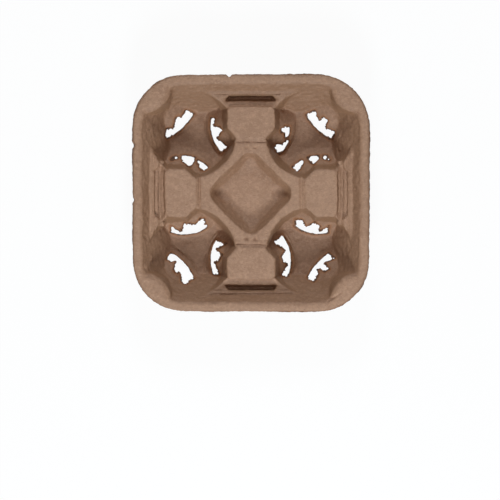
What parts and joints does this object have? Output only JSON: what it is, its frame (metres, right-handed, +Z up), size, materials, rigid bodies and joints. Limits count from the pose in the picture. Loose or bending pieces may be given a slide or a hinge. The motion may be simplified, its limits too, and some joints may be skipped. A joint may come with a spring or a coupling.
{
  "type": "moulded pulp cup carrier tray",
  "caption": "Square moulded fibre tray with round tapered cup pockets, gripping fingers over torn slots, raised pads and a diamond well in the middle.",
  "frame": {"origin": "centre of the tray, on the plane that the undersides of the cup pockets rest on", "axes": "+Z up through the open side; +X and +Y square to the sides of the lip"},
  "size_m": [0.216, 0.216, 0.0508],
  "materials": {
    "pulp": "matt brown moulded fibre"
  },
  "bodies": {
    "root": {"cup_tray": "pulp"}
  },
  "joints": []
}
